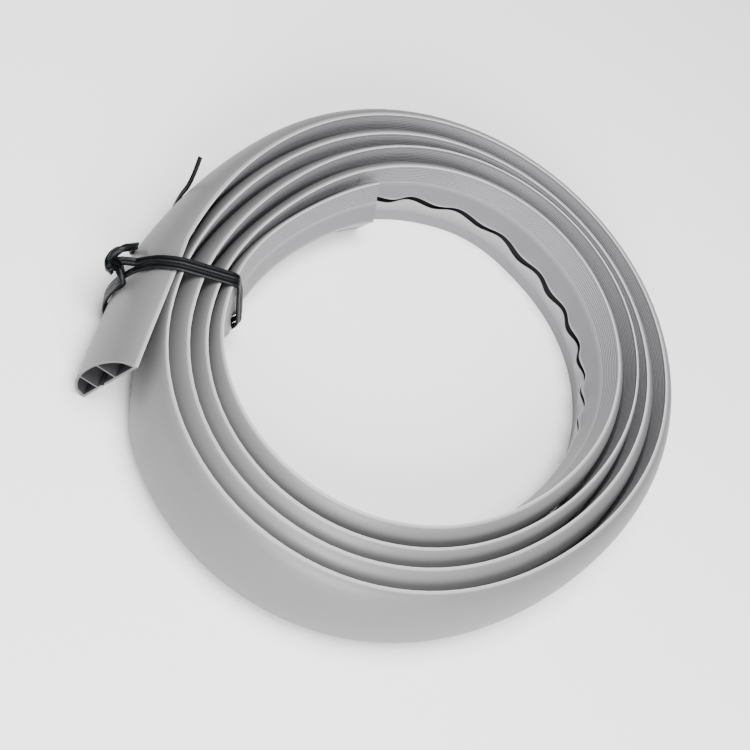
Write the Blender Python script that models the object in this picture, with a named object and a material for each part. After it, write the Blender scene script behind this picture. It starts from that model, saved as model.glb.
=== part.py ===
"""Self-adhesive floor cable duct: one soft PVC strip coiled on edge, held by a twist tie.

The duct is one extruded section swept along the coil it is stored in. The section has a flat base
towards the middle of the coil, a domed back outwards, two webs that leave three channels, and a slit
along the base into the middle channel. The coil stands on the strip's lower edge.
"""
import math

import bmesh
import bpy
from mathutils import Vector
from mathutils.geometry import tessellate_polygon

MM = 0.001

# Section of the duct
WIDTH = 75.0 * MM            # tip to tip, upright in the coil
HEIGHT = 16.5 * MM           # flat base to the crown of the dome, where nothing presses on it
TAIL_HEIGHT = 20.0 * MM      # the same along the free outer end
TAIL_GROWS = (1500.0, 1580.0)
BASE_WALL = 2.0 * MM
DOME_WALL = 2.0 * MM
WEB_WALL = 1.6 * MM
TIP_THICKNESS = 1.3 * MM
LOWER_WEB = 0.30             # places across the width, as fractions from the lower tip
UPPER_WEB = 0.63
SLIT = 0.40
SLIT_GAP = 1.4 * MM
SIDE_CHANNEL_INSET = 0.05
DOME_POWER = 2.2
DOME_ROUNDING = 0.6
BEND_FROM = 0.34             # stretch of the dome that bends where the slit has sprung open
BEND_TO = 0.58

# Coil: an oval spiral, with the radius of the strip's upper edge in millimetres
MIDDLE_ANGLE = 900.0         # coil angle of the mean radius; the free inner end is near 138
MEAN_RADIUS = 182.6
TURN_PITCH = 15.4
LOBES = (                    # one, two and three lobes round: cosine and sine, and their growth a turn
    ((0.8, 2.2), (0.0, 0.0)),
    ((-18.6, 6.0), (-1.1, -1.1)),
    ((1.6, 0.8), (0.2, 1.0)),
)
SWELLS = (                   # stretches that lie further out or in: coil angle, reach, amount
    (180.0, 95.0, 5.1),
    (800.0, 85.0, 6.1),
    (1145.0, 240.0, -2.2),
    (1280.0, 75.0, 3.4),
    (1648.0, 36.0, -3.0),
)
COIL_START = 138.0           # free inner end
TAIL_FROM = 1640.0           # where the outer end leaves the coil and runs straight
TAIL_LENGTH = 121.5 * MM
TAIL_HEADING = -71.9
TURN_STEP = 12.0
PLAN_TURN = -18.1            # turns the plan so that the straight tail runs along -Y
TURN_CLEARANCE = 1.0 * MM
LEAST_HEIGHT = 6.0 * MM
TAIL_LEAN = 16.5             # degrees, lower edge outwards at the outer end
TAIL_LEAN_FROM = 1600.0
SPINE = 0.50                 # part of the height at which the section bends without stretching
SPRUNG_END = -12.0           # lean of the upper half at the inner end, lower edge inwards
SPRUNG_TIE = -18.0           # the same under the tie
SPRUNG_LOWER = 24.0          # lean of the lower half, lower edge outwards
SPRUNG_GROWS = (150.0, 205.0)
SPRUNG_CLOSES = (206.0, 262.0)
INNER_SKEW = 14.0            # both ends are cut this far off square, in degrees
OUTER_SKEW = 6.0
SLACK_UPPER = -9.5           # the rest of the innermost turn stays folded a little at its slit
SLACK_LOWER = 14.0
SLACK_UPPER_CLOSES = (438.0, 462.0)
SLACK_LOWER_CLOSES = (438.0, 494.0)

# Twist tie
TIE_ANGLE = 209.5            # coil angle that it crosses
TIE_LIFT = 3.2 * MM          # the strip rides over the tie here
TIE_WIDTH = 5.6 * MM
TIE_THICKNESS = 2.0 * MM
TIE_STANDOFF = 1.5 * MM      # middle of the tie to the strip
TIE_PITCH = 6.4 * MM
KNOT_HEIGHT = 57.0 * MM
KNOT_STANDOFF = 9.0 * MM     # root of the knot to the bundle
KNOT_SHIFT = -7.0 * MM       # along the strip
KNOT_REACH = 7.0 * MM        # where the strands leave the bundle for the knot
KNOT_LENGTH = 8.0 * MM
KNOT_TURNS = 1.0
KNOT_RADIUS = 2.4 * MM
LOOSE_END = (                # route of the long end: radius in mm, coil angle, height in mm
    (241.5, 208.0, 54.0),
    (240.0, 207.0, 60.0),
    (234.7, 206.0, 63.5),
    (227.5, 204.4, 61.0),
    (224.5, 202.2, 52.0),
    (226.4, 200.4, 38.0),
    (223.6, 197.8, 22.0),
    (217.8, 194.0, 11.0),
    (213.8, 189.8, 8.0),
    (212.0, 186.2, 8.5),
    (214.0, 183.8, 14.0),
    (215.6, 182.7, 26.0),
    (215.6, 182.3, 38.0),
    (214.6, 181.9, 50.0),
    (216.4, 180.4, 60.0),
    (219.7, 178.7, 70.0),
)
LOOSE_TURNS = (11.5, 15.0)    # places on this route between which its flat side turns


def smooth(value, low, high):
    """Eased step from 0 at low to 1 at high."""
    t = min(1.0, max(0.0, (value - low) / (high - low)))
    return t * t * (3.0 - 2.0 * t)


def coil_radius(angle):
    """Radius of the upper edge at a coil angle in degrees, along the coiled part."""
    turns = (angle - MIDDLE_ANGLE) / 360.0
    radius = MEAN_RADIUS + TURN_PITCH * turns
    for count, (shape, growth) in enumerate(LOBES, start=1):
        a = math.radians(count * angle)
        radius += (shape[0] + growth[0] * turns) * math.cos(a)
        radius += (shape[1] + growth[1] * turns) * math.sin(a)
    for middle, reach, amount in SWELLS:
        away = min(1.0, abs(angle - middle) / reach)
        radius += 0.5 * amount * (1.0 + math.cos(math.pi * away))
    return radius * MM


def coil_point(angle):
    a = math.radians(angle + PLAN_TURN)
    r = coil_radius(angle)
    return Vector((r * math.cos(a), r * math.sin(a)))


TAIL_START = coil_point(TAIL_FROM)
TAIL_DIRECTION = Vector((math.cos(math.radians(TAIL_HEADING + PLAN_TURN)),
                         math.sin(math.radians(TAIL_HEADING + PLAN_TURN))))


def edge_radius(angle):
    """Radius of the upper edge at a coil angle, on the straight tail too; None past its end."""
    if angle <= TAIL_FROM:
        return coil_radius(angle)
    if angle > TAIL_FROM + 45.0:
        return None
    a = math.radians(angle + PLAN_TURN)
    ray = Vector((math.cos(a), math.sin(a)))
    cross = ray.x * TAIL_DIRECTION.y - ray.y * TAIL_DIRECTION.x
    reach = (ray.y * TAIL_START.x - ray.x * TAIL_START.y) / cross
    if reach > TAIL_LENGTH + 8.0 * MM:
        return None
    return (TAIL_START.x * TAIL_DIRECTION.y - TAIL_START.y * TAIL_DIRECTION.x) / cross


def leans(angle):
    """Lean of the upper and of the lower half of the section, in radians, lower edge outwards."""
    closed = smooth(angle, *SPRUNG_CLOSES)
    tail = smooth(angle, TAIL_LEAN_FROM, TAIL_FROM + 15.0) * TAIL_LEAN
    upper = SPRUNG_END + (SPRUNG_TIE - SPRUNG_END) * smooth(angle, *SPRUNG_GROWS)
    upper += (SLACK_UPPER * (1.0 - smooth(angle, *SLACK_UPPER_CLOSES)) - upper) * closed
    lower = SPRUNG_LOWER
    lower += (SLACK_LOWER * (1.0 - smooth(angle, *SLACK_LOWER_CLOSES)) - lower) * closed
    return math.radians(tail + upper), math.radians(tail + lower)


def dome(x, height):
    """Outer height of the dome at a place across the width."""
    shape = max(0.0, 1.0 - abs(2.0 * x - 1.0) ** DOME_POWER) ** DOME_ROUNDING
    return TIP_THICKNESS + (height - TIP_THICKNESS) * shape


def inside(x, height):
    """Inner height of the dome wall at a place across the width."""
    slope = (dome(x + 0.02, height) - dome(x - 0.02, height)) / (0.04 * WIDTH)
    return dome(x, height) - DOME_WALL * math.sqrt(1.0 + slope * slope)


def section(height):
    """Loops of (place across the width, height, half): the outline, then the two side channels."""
    web = 0.5 * WEB_WALL / WIDTH
    slit = 0.5 * SLIT_GAP / WIDTH
    outline = [(0.0, 0.0, "lower"), (SLIT - slit, 0.0, "lower"), (SLIT - slit, BASE_WALL, "lower"),
               (LOWER_WEB + web, BASE_WALL, "lower")]
    for x in (LOWER_WEB + web, 0.38, 0.46, 0.54, UPPER_WEB - web):
        outline.append((x, inside(x, height), "dome"))
    outline += [(UPPER_WEB - web, BASE_WALL, "upper"), (SLIT + slit, BASE_WALL, "upper"),
                (SLIT + slit, 0.0, "upper"), (1.0, 0.0, "upper")]
    for x in (1.0, 0.965, 0.90, 0.80, 0.68, 0.58, 0.50, 0.42, 0.34, 0.22, 0.10, 0.035, 0.0):
        outline.append((x, dome(x, height), "dome"))
    lower = [(SIDE_CHANNEL_INSET, BASE_WALL, "dome"), (LOWER_WEB - web, BASE_WALL, "dome")]
    lower += [(x, inside(x, height), "dome") for x in (LOWER_WEB - web, 0.20, 0.11)]
    upper = [(1.0 - SIDE_CHANNEL_INSET, BASE_WALL, "dome")]
    upper += [(x, inside(x, height), "dome") for x in (0.89, 0.78, UPPER_WEB + web)]
    upper.append((UPPER_WEB + web, BASE_WALL, "dome"))
    return [outline, lower, upper]


def lay(loops, height, upper_lean, lower_lean):
    """Lays the section out as (outward, up) pairs that hang from the upper tip."""
    steps = 24
    spine_height = SPINE * height
    bend = [BEND_TO + (BEND_FROM - BEND_TO) * k / steps for k in range(steps + 1)]

    def axes(lean):
        return Vector((math.sin(lean), -math.cos(lean))), Vector((math.cos(lean), math.sin(lean)))

    down, out = axes(upper_lean)
    start = out * spine_height + down * (WIDTH * (1.0 - BEND_TO))
    spine = [start]
    lean_at = [upper_lean]
    for k in range(steps):
        lean = upper_lean + (lower_lean - upper_lean) * (k + 0.5) / steps
        spine.append(spine[-1] + axes(lean)[0] * (WIDTH * (bend[k] - bend[k + 1])))
        lean_at.append(upper_lean + (lower_lean - upper_lean) * (k + 1) / steps)

    def place(x, h, half):
        if half == "upper" or x >= BEND_TO:
            root, lean, origin = spine[0], upper_lean, BEND_TO
        elif half == "lower" or x <= BEND_FROM:
            root, lean, origin = spine[-1], lower_lean, BEND_FROM
        else:
            along = (BEND_TO - x) / (BEND_TO - BEND_FROM) * steps
            k = min(int(along), steps - 1)
            root = spine[k].lerp(spine[k + 1], along - k)
            lean, origin = upper_lean + (lower_lean - upper_lean) * along / steps, x
        along_dir, out_dir = axes(lean)
        return root + along_dir * (WIDTH * (origin - x)) - out_dir * (spine_height - h)

    return [[place(*point) for point in loop] for loop in loops]


def fits(angle, height):
    """Whether a section this high stays clear of the next turn outward."""
    outline = lay(section(height), height, *leans(angle))[0]
    low = min(p.y for p in outline)
    for step in range(-12, 13, 4):
        outer = edge_radius(angle + 360.0 + step)
        if outer is None:
            continue
        gap = (outer - edge_radius(angle + step)) * 0.965 - TURN_CLEARANCE
        lean = leans(angle + 360.0 + step)[0]
        if any(p.x > gap + (WIDTH * math.cos(lean) - p.y + low) * math.tan(lean) for p in outline):
            return False
    return True


def free_height(angle):
    """Height of the dome: full where it is free, less where the next turn presses on it."""
    high = HEIGHT + (TAIL_HEIGHT - HEIGHT) * smooth(angle, *TAIL_GROWS)
    if fits(angle, high):
        return high
    low = LEAST_HEIGHT
    for _ in range(10):
        middle = 0.5 * (low + high)
        if fits(angle, middle):
            low = middle
        else:
            high = middle
    return low


def stations():
    """Coil angles of the swept sections, closer together where the tie passes under."""
    count = math.ceil((TAIL_FROM - COIL_START) / TURN_STEP)
    places = {COIL_START + TURN_STEP * k for k in range(count)}
    for turn in range(5):
        middle = TIE_ANGLE + 360.0 * turn
        places = {a for a in places if abs(a - middle) > 9.0}
        places |= {a for a in (middle - 7.0, middle - 2.6, middle + 2.6, middle + 7.0) if a < TAIL_FROM}
    places.add(TAIL_FROM)
    return sorted(places)


def lift(angle):
    """How far the strip is raised off the floor by the tie under it."""
    away = abs((angle - TIE_ANGLE + 180.0) % 360.0 - 180.0)
    return TIE_LIFT * (1.0 - smooth(away, 3.0, 14.0))


def placed_section(angle, point, heading, height):
    """Section at a station as loops of points in space, standing on the floor or on the tie."""
    upper_lean, lower_lean = leans(angle)
    laid = lay(section(height), height, upper_lean, lower_lean)
    low = min(p.y for loop in laid for p in loop)
    rise = lift(angle) - low
    outward = Vector((heading.y, -heading.x))
    return [[Vector((point.x + outward.x * p.x, point.y + outward.y * p.x, p.y + rise)) for p in loop]
            for loop in laid]


def swept_sections():
    """Every section of the duct, from the inner end to the outer end."""
    result = []
    for angle in stations():
        heading = (coil_point(angle + 0.5) - coil_point(angle - 0.5)).normalized()
        if angle > TAIL_FROM - 10.0:
            heading = heading.lerp(TAIL_DIRECTION, (angle - TAIL_FROM + 10.0) / 10.0).normalized()
        result.append(placed_section(angle, coil_point(angle), heading, free_height(angle)))
    for k in (1, 2, 3):
        angle = TAIL_FROM + 30.0 * k / 3.0
        point = TAIL_START + TAIL_DIRECTION * (TAIL_LENGTH * k / 3.0)
        result.append(placed_section(angle, point, TAIL_DIRECTION, TAIL_HEIGHT))
    inner = (coil_point(COIL_START + 0.5) - coil_point(COIL_START - 0.5)).normalized()
    for index, heading, skew in ((0, inner, INNER_SKEW), (-1, TAIL_DIRECTION, OUTER_SKEW)):
        slope = heading.to_3d() * math.tan(math.radians(skew))
        top = max(p.z for p in result[index][0])
        result[index] = [[p - slope * (top - p.z) for p in loop] for loop in result[index]]
    return result


def make_material(name, colour, roughness):
    material = bpy.data.materials.new(name)
    material.use_nodes = True
    shader = material.node_tree.nodes["Principled BSDF"]
    shader.inputs["Base Color"].default_value = colour
    shader.inputs["Roughness"].default_value = roughness
    return material


def sweep(loops, start_cap, end_cap):
    """Skins the rings of loops from station to station and closes both ends with the given triangles.

    Each station is a list of closed loops of points, the same count at every station; the caps hold
    indices into the points of their station.
    """
    work = bmesh.new()
    rings = [[[work.verts.new(p) for p in loop] for loop in station] for station in loops]
    for here, there in zip(rings, rings[1:]):
        for one, two in zip(here, there):
            for j in range(len(one)):
                work.faces.new((one[j - 1], one[j], two[j], two[j - 1]))
    for ring, cap in ((rings[0], start_cap), (rings[-1], end_cap)):
        points = [v for loop in ring for v in loop]
        for corners in cap:
            work.faces.new([points[i] for i in corners])
    return work


def make_object(name, work, material, sharp):
    """Turns a closed bmesh into an object with its faces outward and its material."""
    mesh = bpy.data.meshes.new(name)
    bmesh.ops.recalc_face_normals(work, faces=work.faces)
    if work.calc_volume(signed=True) < 0.0:
        bmesh.ops.reverse_faces(work, faces=work.faces)
    bmesh.ops.triangulate(work, faces=work.faces)
    work.to_mesh(mesh)
    work.free()
    for polygon in mesh.polygons:
        polygon.use_smooth = True
    mesh.set_sharp_from_angle(angle=math.radians(sharp))
    mesh.materials.append(material)
    obj = bpy.data.objects.new(name, mesh)
    bpy.context.scene.collection.objects.link(obj)
    return obj


def make_duct(sections):
    """One closed body: the section's loops joined station to station, with both cut ends capped."""
    work = sweep(sections, tessellate_polygon(sections[0]), tessellate_polygon(sections[-1]))
    grey = make_material("soft_grey_pvc", (0.46, 0.455, 0.475, 1.0), 0.5)
    return make_object("cable_duct", work, grey, 35.0)


def convex_hull(points):
    """Counter-clockwise hull of (x, y) pairs."""
    ordered = sorted(set((round(x, 7), round(y, 7)) for x, y in points))

    def half(sequence):
        chain = []
        for p in sequence:
            while len(chain) > 1 and ((chain[-1][0] - chain[-2][0]) * (p[1] - chain[-2][1])
                                      - (chain[-1][1] - chain[-2][1]) * (p[0] - chain[-2][0])) <= 0:
                chain.pop()
            chain.append(p)
        return chain[:-1]

    return half(ordered) + half(ordered[::-1])


def tie_loop(sections):
    """Line of the tie round the bundle: points and outward directions in its upright plane."""
    a = math.radians(TIE_ANGLE + PLAN_TURN)
    radial = Vector((math.cos(a), math.sin(a), 0.0))
    along = Vector((-math.sin(a), math.cos(a), 0.0))
    around = []
    for k in range(len(sections) - 1):
        for one, two in zip(sections[k][0], sections[k + 1][0]):
            if one.dot(radial) < 0.0 or min(one.dot(along), two.dot(along)) > 12.5 * MM:
                continue
            if max(one.dot(along), two.dot(along)) < -12.5 * MM:
                continue
            for j in range(25):
                p = one.lerp(two, j / 24.0)
                if abs(p.dot(along)) < 10.8 * MM:
                    around.append((p.dot(radial), p.z))
    ring = [(x + TIE_STANDOFF * math.cos(math.pi * k / 8), z + TIE_STANDOFF * math.sin(math.pi * k / 8))
            for x, z in convex_hull(around) for k in range(16)]
    hull = [Vector(p) for p in convex_hull(ring)]
    return hull, radial, along


def thinned(loop, start, spacing):
    """Points of a closed loop from a start index on, without those closer than the spacing."""
    ordered = loop[start:] + loop[:start]
    kept = [ordered[0]]
    for point in ordered[1:]:
        if (point - kept[-1]).length > spacing and (point - ordered[0]).length > spacing:
            kept.append(point)
    return kept


def polar_point(radius, angle, height):
    """Point from a radius and a height in millimetres and a coil angle in degrees."""
    a = math.radians(angle + PLAN_TURN)
    return Vector((radius * math.cos(a), radius * math.sin(a), height)) * MM


def tie_line(sections):
    """Centre line of the tie from tip to tip: point, where its flat side faces, and its course.

    The course is given in the twisted knot only, where both strands are cut square to the knot's axis.
    """
    hull, radial, along = tie_loop(sections)
    up = Vector((0.0, 0.0, 1.0))
    middle = 0.5 * (min(p.x for p in hull) + max(p.x for p in hull))
    outside = [i for i, p in enumerate(hull) if p.x > middle]
    start = min(outside, key=lambda i: abs(hull[i].y - KNOT_HEIGHT))
    closed = thinned(hull, start, 0.7 * MM)
    size = len(closed)
    spans = [(closed[(k + 1) % size] - closed[k]).length for k in range(size)]
    reach = [sum(spans[:k]) / sum(spans) for k in range(size)]
    line = []
    turns = 2
    for j in range(1, turns * size):
        p = closed[j % size]
        inner = 0.5 * size < j < (turns - 0.5) * size
        if not inner and (p - closed[0]).length < KNOT_REACH:
            continue
        before = closed[(j - 1) % size]
        after = closed[(j + 1) % size]
        tangent = (after - before).normalized()
        face = Vector((tangent.y, -tangent.x))
        shift = (reach[j % size] + j // size - 0.5 * turns) * TIE_PITCH
        line.append((radial * p.x + up * p.y + along * shift, radial * face.x + up * face.y, None))
    root = radial * (closed[0].x + KNOT_STANDOFF) + up * closed[0].y + along * KNOT_SHIFT
    axis = (radial * 0.50 + along * 0.70 - up * 0.42).normalized()
    side = up.cross(axis).normalized()
    top = axis.cross(side)
    steps = 14

    def twist(phase):
        made = []
        for j in range(steps + 1):
            turn = phase + 2.0 * math.pi * KNOT_TURNS * j / steps
            spoke = side * math.cos(turn) + top * math.sin(turn)
            made.append((root + axis * (KNOT_LENGTH * j / steps) + spoke * KNOT_RADIUS, spoke, axis))
        return made

    first = twist(0.5 * math.pi)
    second = twist(-0.5 * math.pi)
    route = [polar_point(*place) for place in LOOSE_END]
    ends = [first[-2][0], first[-1][0] + axis * 1.2 * MM] + route + [2 * route[-1] - route[-2]]
    loose = []
    for k in range(1, len(ends) - 2):
        for j in range(3):
            t = j / 3.0
            p, q, r, s = ends[k - 1:k + 3]
            point = q + 0.5 * t * (r - p + t * (2 * p - 5 * q + 4 * r - s + t * (3 * (q - r) + s - p)))
            share = min(1.0, (k - 1 + t) / 2.0)
            turned = 0.5 * smooth(k - 1 + t, *LOOSE_TURNS)
            face = first[-1][1].lerp(radial, share).lerp(along, turned)
            loose.append((point, face.normalized(), None))
    loose.append((route[-1], (radial + along).normalized(), None))
    stub = [(second[-1][0] + axis * 2.5 * MM, second[-1][1], axis)]
    return loose[::-1] + first[::-1] + line + second + stub


def make_tie(sections):
    """Swept strip of the tie: flat, with the ridge of its wire along both sides."""
    line = tie_line(sections)
    half, thick = 0.5 * TIE_WIDTH, 0.5 * TIE_THICKNESS
    profile = [(half, 0.0), (0.5 * half, 0.72 * thick), (0.0, thick), (-0.5 * half, 0.72 * thick),
               (-half, 0.0), (-0.5 * half, -0.72 * thick), (0.0, -thick), (0.5 * half, -0.72 * thick)]
    rings = []
    for k, (point, face, course) in enumerate(line):
        before = line[max(k - 1, 0)][0]
        after = line[min(k + 1, len(line) - 1)][0]
        tangent = (after - before).normalized()
        if course is not None:
            tangent = course if tangent.dot(course) > 0.0 else -course
        flat = (face - tangent * face.dot(tangent)).normalized()
        wide = tangent.cross(flat)
        rings.append([[point + wide * x + flat * y for x, y in profile]])
    end = range(len(profile))
    work = sweep(rings, [end], [end])
    black = make_material("black_plastic", (0.006, 0.007, 0.009, 1.0), 0.4)
    return make_object("twist_tie", work, black, 50.0)


def centre_on_floor(objects):
    """Moves the meshes so that the origin is the middle of the whole part's base."""
    corners = [v.co for obj in objects for v in obj.data.vertices]
    low = Vector([min(c[k] for c in corners) for k in range(3)])
    high = Vector([max(c[k] for c in corners) for k in range(3)])
    shift = Vector((-(low.x + high.x) / 2.0, -(low.y + high.y) / 2.0, -low.z))
    for obj in objects:
        for vertex in obj.data.vertices:
            vertex.co += shift


def main():
    for obj in list(bpy.data.objects):
        bpy.data.objects.remove(obj, do_unlink=True)
    sections = swept_sections()
    centre_on_floor([make_duct(sections), make_tie(sections)])


main()
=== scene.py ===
"""Looks of a floor cable duct: one soft PVC strip coiled on edge and held by a twist tie.

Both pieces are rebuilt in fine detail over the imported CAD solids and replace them: the duct with its rounded
tips, grooved base and wavy slit, and the tie with its wire ridges, twisted knot and loose end.
"""
import logging
import math
from dataclasses import dataclass
from enum import Enum

import bmesh
import bpy
from mathutils import Matrix, Vector
from mathutils.geometry import tessellate_polygon


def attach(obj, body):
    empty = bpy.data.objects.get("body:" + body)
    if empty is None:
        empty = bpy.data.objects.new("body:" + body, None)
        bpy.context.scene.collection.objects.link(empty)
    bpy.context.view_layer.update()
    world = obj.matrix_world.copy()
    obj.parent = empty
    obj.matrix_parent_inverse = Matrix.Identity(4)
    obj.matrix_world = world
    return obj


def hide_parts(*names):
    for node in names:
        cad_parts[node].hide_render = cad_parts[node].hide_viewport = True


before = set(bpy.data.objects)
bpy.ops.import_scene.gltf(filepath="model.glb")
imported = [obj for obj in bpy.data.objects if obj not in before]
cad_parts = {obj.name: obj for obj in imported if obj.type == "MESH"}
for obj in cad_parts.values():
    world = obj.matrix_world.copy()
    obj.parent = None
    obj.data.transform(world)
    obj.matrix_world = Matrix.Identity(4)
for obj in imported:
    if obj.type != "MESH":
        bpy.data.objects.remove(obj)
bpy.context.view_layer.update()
MM = 0.001
TINY = 1e-9
TIE_ANGLE = 209.5
# Sockets of a colour mix: its share, its two colours and its result
SHARE, FIRST, SECOND, MIXED = 0, 6, 7, 2
LOG = logging.getLogger("cable_duct")

# A pair is a range, a point in a plane or a row of a table
Pair = tuple[float, float]
# Angles where a rise starts and ends, and where the fall after it starts and ends
RiseAndFall = tuple[float, float, float, float]


def smooth(value: float, low: float, high: float) -> float:
    """Eases a value from 0 at one end to 1 at the other.

    Args:
        value: where on the range.
        low: value that gives 0.
        high: value that gives 1.

    Returns:
        The eased share, from 0 to 1.
    """
    t = min(1.0, max(0.0, (value - low) / (high - low)))
    return t * t * (3.0 - 2.0 * t)


def linear(code: str) -> tuple[float, float, float, float]:
    """Turns an sRGB hex colour into the linear colour that a shader takes.

    Args:
        code: six hex digits.

    Returns:
        Linear red, green and blue with an alpha of one.
    """
    channels = []
    for start in (0, 2, 4):
        c = int(code[start:start + 2], 16) / 255.0
        channels.append(c / 12.92 if c <= 0.04045 else ((c + 0.055) / 1.055) ** 2.4)
    return channels[0], channels[1], channels[2], 1.0


def add(tree: bpy.types.NodeTree, kind: str, settings: dict | None = None,
        inputs: dict | None = None) -> bpy.types.Node:
    """Adds a node with its settings, values and links.

    Args:
        tree: node tree of a material or world.
        kind: the node's type name.
        settings: properties to set.
        inputs: value or output socket for each input, by name or number.

    Returns:
        The new node.
    """
    node = tree.nodes.new(kind)
    for name, value in (settings or {}).items():
        setattr(node, name, value)
    for name, value in (inputs or {}).items():
        if isinstance(value, bpy.types.NodeSocket):
            tree.links.new(value, node.inputs[name])
        else:
            node.inputs[name].default_value = value
    return node


def blank_material(name: str) -> tuple[bpy.types.Material, bpy.types.NodeTree, bpy.types.Node]:
    """Makes a material that holds only its shader and output.

    Args:
        name: the material's name.

    Returns:
        The material, its node tree and its Principled shader.
    """
    material = bpy.data.materials.new(name)
    material.use_nodes = True
    tree = material.node_tree
    return material, tree, tree.nodes["Principled BSDF"]


class Half(Enum):
    """Part of the section that a point turns with where the slit has sprung open."""

    LOWER = "lower flap of the base"
    UPPER = "upper flap of the base"
    DOME = "domed back"


class Skin(Enum):
    """Surface that a point belongs to, with its place on the scale that the material reads."""

    DOME = 0.0
    # The insides take a much darker grey in the material: painted shade
    INSIDE = 0.5
    BASE = 1.0


@dataclass(frozen=True)
class Mark:
    """One corner or point of the section: across in metres from the lower tip, height over the base."""

    across: float
    height: float
    half: Half
    skin: Skin = Skin.INSIDE
    rounding: float = 0.0
    # edge is the share of painted highlight at a point, groove the share of painted shade
    edge: float = 0.0
    groove: float = 0.0


@dataclass(frozen=True)
class TiePoint:
    """One point of the tie: where its flat side faces, its course, and its shares of thickness and width."""

    place: Vector
    face: Vector
    course: Vector | None = None
    plump: float = 1.0
    share: float = 1.0


@dataclass(frozen=True)
class SoftPvc:
    """Plasticised PVC, extruded: a satin skin with faint draw lines along it, with a painted highlight on its
    thin edges, painted shade in its channels and grooves, and a cooler painted shade on its base.
    """

    name: str = "extruded_soft_grey_pvc"
    dome_hex: str = "676768"
    # Painted shade: the base is a cooler, slightly darker copy of the dome's grey
    base_shaded_hex: str = "656468"
    # Painted shade: the insides of the channels and the slit's walls take a much darker grey
    inside_shade_hex: str = "3A3A3C"
    # Painted highlight: the paler grey that the tips, back corners, lips and groove shoulders take
    rim_highlight_hex: str = "B6B6B8"
    groove_hex: str = "454449"
    roughness: float = 0.46
    ior: float = 1.53
    line_pitch_mm: float = 0.7
    line_length_mm: float = 160.0
    cloud_mm: float = 38.0
    grain_mm: float = 0.9
    line_shade: float = 0.10
    cloud_shade: float = 0.10
    cloud_sheen: float = 0.12

    def material(self) -> bpy.types.Material:
        """Builds the material: draw lines and clouding in colour, roughness and bump.

        Returns:
            The finished material.
        """
        # Soft PVC off the die gives the eye a broad, dull sheen that is a little uneven and ruled lengthways
        material, tree, shader = blank_material(self.name)
        place = add(tree, "ShaderNodeUVMap", {"uv_map": "strip"})
        where = add(tree, "ShaderNodeNewGeometry")
        stretch = (1.0 / (self.line_pitch_mm * MM), 1.0 / (self.line_length_mm * MM), 1.0)
        drawn = add(tree, "ShaderNodeMapping", {}, {"Vector": place.outputs["UV"], "Scale": stretch})
        # Lines left by the die run the whole length, a little drifting in strength
        lines = add(tree, "ShaderNodeTexNoise", {}, {
            "Vector": drawn.outputs["Vector"], "Scale": 1.0, "Detail": 3.0, "Roughness": 0.6})
        clouds = add(tree, "ShaderNodeTexNoise", {}, {
            "Vector": where.outputs["Position"], "Scale": 1.0 / (self.cloud_mm * MM), "Detail": 4.0})
        # The real grain is finer than a pixel, so it is drawn at about a millimetre
        grain = add(tree, "ShaderNodeTexNoise", {}, {
            "Vector": where.outputs["Position"], "Scale": 1.0 / (self.grain_mm * MM), "Detail": 2.0})
        side = add(tree, "ShaderNodeAttribute", {"attribute_name": "skin"})
        edge = add(tree, "ShaderNodeAttribute", {"attribute_name": "edge"})
        to_inside = add(tree, "ShaderNodeMapRange", {}, {
            "Value": side.outputs["Fac"], "From Max": Skin.INSIDE.value})
        to_base = add(tree, "ShaderNodeMapRange", {}, {
            "Value": side.outputs["Fac"], "From Min": Skin.INSIDE.value})
        # Painted shade: the insides are mixed towards a much darker grey
        skin = add(tree, "ShaderNodeMix", {"data_type": "RGBA"}, {
            SHARE: to_inside.outputs[0], FIRST: linear(self.dome_hex), SECOND: linear(self.inside_shade_hex)})
        # Painted shade: the base is mixed to a cooler, slightly darker grey than the dome
        skin = add(tree, "ShaderNodeMix", {"data_type": "RGBA"}, {
            SHARE: to_base.outputs[0], FIRST: skin.outputs[MIXED], SECOND: linear(self.base_shaded_hex)})
        # Painted highlight: tips, back corners, lips and groove shoulders are mixed towards a paler grey
        shade = add(tree, "ShaderNodeMix", {"data_type": "RGBA"}, {
            SHARE: edge.outputs["Fac"], FIRST: skin.outputs[MIXED], SECOND: linear(self.rim_highlight_hex)})
        mottle = add(tree, "ShaderNodeMath", {"operation": "MULTIPLY_ADD"}, {
            0: clouds.outputs["Fac"], 1: self.cloud_shade, 2: 1.0 - 0.5 * self.cloud_shade})
        ruled = add(tree, "ShaderNodeMath", {"operation": "MULTIPLY_ADD"}, {
            0: lines.outputs["Fac"], 1: self.line_shade, 2: -0.5 * self.line_shade})
        level = add(tree, "ShaderNodeMath", {"operation": "ADD"}, {
            0: mottle.outputs[0], 1: ruled.outputs[0]})
        tone = add(tree, "ShaderNodeVectorMath", {"operation": "SCALE"}, {
            0: shade.outputs[MIXED], "Scale": level.outputs[0]})
        # The grooves are about a pixel wide, so the shade in them is drawn as well as cut
        groove = add(tree, "ShaderNodeAttribute", {"attribute_name": "groove"})
        tone = add(tree, "ShaderNodeMix", {"data_type": "RGBA"}, {
            SHARE: groove.outputs["Fac"], FIRST: tone.outputs[0], SECOND: linear(self.groove_hex)})
        tree.links.new(tone.outputs[MIXED], shader.inputs["Base Color"])
        sheen = add(tree, "ShaderNodeMath", {"operation": "MULTIPLY_ADD"}, {
            0: clouds.outputs["Fac"], 1: self.cloud_sheen, 2: self.roughness - 0.5 * self.cloud_sheen})
        tree.links.new(sheen.outputs[0], shader.inputs["Roughness"])
        shader.inputs["IOR"].default_value = self.ior
        relief = add(tree, "ShaderNodeBump", {}, {
            "Strength": 0.22, "Distance": 0.12 * MM, "Height": lines.outputs["Fac"]})
        fine = add(tree, "ShaderNodeBump", {}, {
            "Strength": 0.10, "Distance": 0.05 * MM, "Height": grain.outputs["Fac"],
            "Normal": relief.outputs["Normal"]})
        tree.links.new(fine.outputs["Normal"], shader.inputs["Normal"])
        return material


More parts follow.
